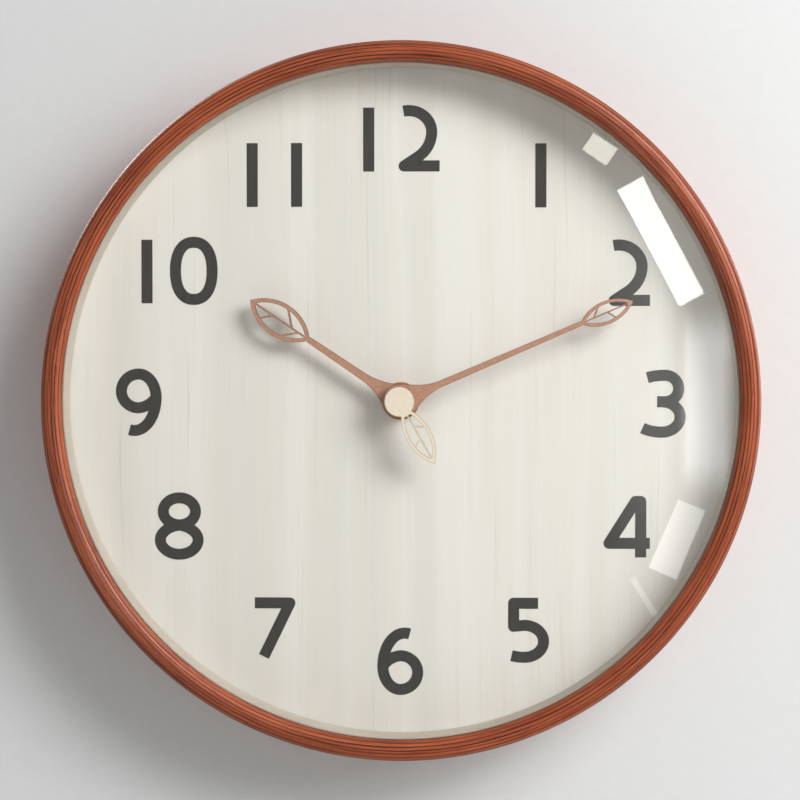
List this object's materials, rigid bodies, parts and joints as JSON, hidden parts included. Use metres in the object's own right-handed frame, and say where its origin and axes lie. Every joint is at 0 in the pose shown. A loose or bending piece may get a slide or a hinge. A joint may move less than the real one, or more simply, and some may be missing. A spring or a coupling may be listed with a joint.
{
  "type": "wall clock",
  "caption": "Round wall clock: laminated bentwood case, domed glass, pale wood-grain dial, leaf-shaped wooden hands and a battery quartz movement behind.",
  "frame": {"origin": "centre of the clock's bounding box: on the hands' axis, halfway between the wall plane and the top of the glass dome", "axes": "+Z towards 12 o'clock, +X towards 3 o'clock, +Y into the wall, so the dial faces -Y; a positive turn about +Y is clockwise from the front"},
  "size_m": [0.3, 0.0478, 0.3],
  "materials": {
    "ring_wood": "satin oiled bentwood with dark glue lines",
    "glass": "clear domed glass, polished",
    "seal_foam": "matt closed-cell foam",
    "cream_card": "matt cream card strip",
    "dial_veneer": "whitewashed vertical grain, matt",
    "numeral_ink": "matt charcoal print",
    "fibreboard": "raw brown fibreboard",
    "zinc_steel": "zinc plated",
    "spring_steel": "bright nickel plated strip",
    "soft_iron": "annealed stamped plate",
    "brass": "turned brass",
    "black_plastic": "fine spark-eroded texture",
    "white_nylon": "natural moulded nylon",
    "rubber": "matt",
    "battery_sleeve": "plain two-tone shrink sleeve, no lettering",
    "circuit_board": "green solder mask",
    "epoxy": "glossy black potting",
    "crystal_can": "bright drawn can",
    "copper_wire": "enamelled copper wire",
    "magnet": "dark sintered ferrite",
    "walnut_hand": "laser-cut walnut with dark edges",
    "birch_hand": "laser-cut birch, pale"
  },
  "bodies": {
    "clock_case": {"frame_ring": "ring_wood", "lens_glass": "glass", "lens_seal": "seal_foam", "spacer_ring": "cream_card", "dial_face": "dial_veneer", "dial_board": "fibreboard", "hanger_bracket": "zinc_steel", "movement_case": "black_plastic", "movement_cover": "black_plastic", "train_bridge": "white_nylon", "threaded_bushing": "brass", "rubber_washer": "rubber", "front_washer": "brass", "hex_nut": "brass", "contact_positive": "spring_steel", "contact_negative": "spring_steel", "circuit_board": "circuit_board", "clock_chip": "epoxy", "quartz_crystal": "crystal_can", "stator": "soft_iron", "coil_core": "soft_iron", "coil_bobbin": "white_nylon", "coil_winding": "copper_wire", "retainer_clip_1": "zinc_steel", "clip_screw_1": "zinc_steel", "retainer_clip_2": "zinc_steel", "clip_screw_2": "zinc_steel", "retainer_clip_3": "zinc_steel", "clip_screw_3": "zinc_steel", "retainer_clip_4": "zinc_steel", "clip_screw_4": "zinc_steel", "hanger_screw_1": "zinc_steel", "hanger_screw_2": "zinc_steel"},
    "seconds": {"second_wheel": "white_nylon", "second_arbor": "spring_steel", "second_hand": "birch_hand", "second_hand_bush": "brass"},
    "third": {"third_wheel": "white_nylon"},
    "minutes": {"centre_wheel": "white_nylon", "minute_pipe": "brass", "minute_hand": "walnut_hand", "minute_hand_bush": "brass"},
    "motion": {"motion_wheel": "white_nylon"},
    "hours": {"hour_wheel": "white_nylon", "hour_hand": "walnut_hand", "hour_hand_bush": "brass"},
    "knob": {"setting_knob": "black_plastic"},
    "intermediate": {"intermediate_wheel": "white_nylon"},
    "rotor": {"rotor_magnet": "magnet", "rotor_pinion": "white_nylon"},
    "battery": {"battery": "battery_sleeve"}
  },
  "joints": [
    {"name": "second_spin", "type": "hinge", "parent": "clock_case", "child": "seconds", "pos_m": [0, 0, 0], "axis": [0, 1, 0], "continuous": true},
    {"name": "third_spin", "type": "hinge", "parent": "clock_case", "child": "third", "pos_m": [0.01014, 0, 0.00371], "axis": [0, 1, 0], "continuous": true},
    {"name": "minute_spin", "type": "hinge", "parent": "clock_case", "child": "minutes", "pos_m": [0, 0, 0], "axis": [0, 1, 0], "continuous": true},
    {"name": "motion_spin", "type": "hinge", "parent": "clock_case", "child": "motion", "pos_m": [0.00156, 0, 0.00886], "axis": [0, 1, 0], "continuous": true},
    {"name": "hour_spin", "type": "hinge", "parent": "clock_case", "child": "hours", "pos_m": [0, 0, 0], "axis": [0, 1, 0], "continuous": true},
    {"name": "knob_spin", "type": "hinge", "parent": "clock_case", "child": "knob", "pos_m": [0.00843, 0, 0.01536], "axis": [0, 1, 0], "continuous": true},
    {"name": "intermediate_spin", "type": "hinge", "parent": "clock_case", "child": "intermediate", "pos_m": [-0.00937, 0, 0.00541], "axis": [0, 1, 0], "continuous": true},
    {"name": "rotor_spin", "type": "hinge", "parent": "clock_case", "child": "rotor", "pos_m": [-0.0156, 0, 0.00901], "axis": [0, 1, 0], "continuous": true},
    {"name": "battery_slide", "type": "slide", "parent": "clock_case", "child": "battery", "axis": [0, 1, 0], "range_m": [0, 0.02]}
  ],
  "couplings": [
    {"joint": "third_spin", "follows": "second_spin", "ratio": -0.125},
    {"joint": "minute_spin", "follows": "second_spin", "ratio": 0.016667},
    {"joint": "motion_spin", "follows": "second_spin", "ratio": -0.0055556},
    {"joint": "hour_spin", "follows": "second_spin", "ratio": 0.0013889},
    {"joint": "knob_spin", "follows": "second_spin", "ratio": 0.013889},
    {"joint": "intermediate_spin", "follows": "second_spin", "ratio": -6},
    {"joint": "rotor_spin", "follows": "second_spin", "ratio": 30}
  ]
}
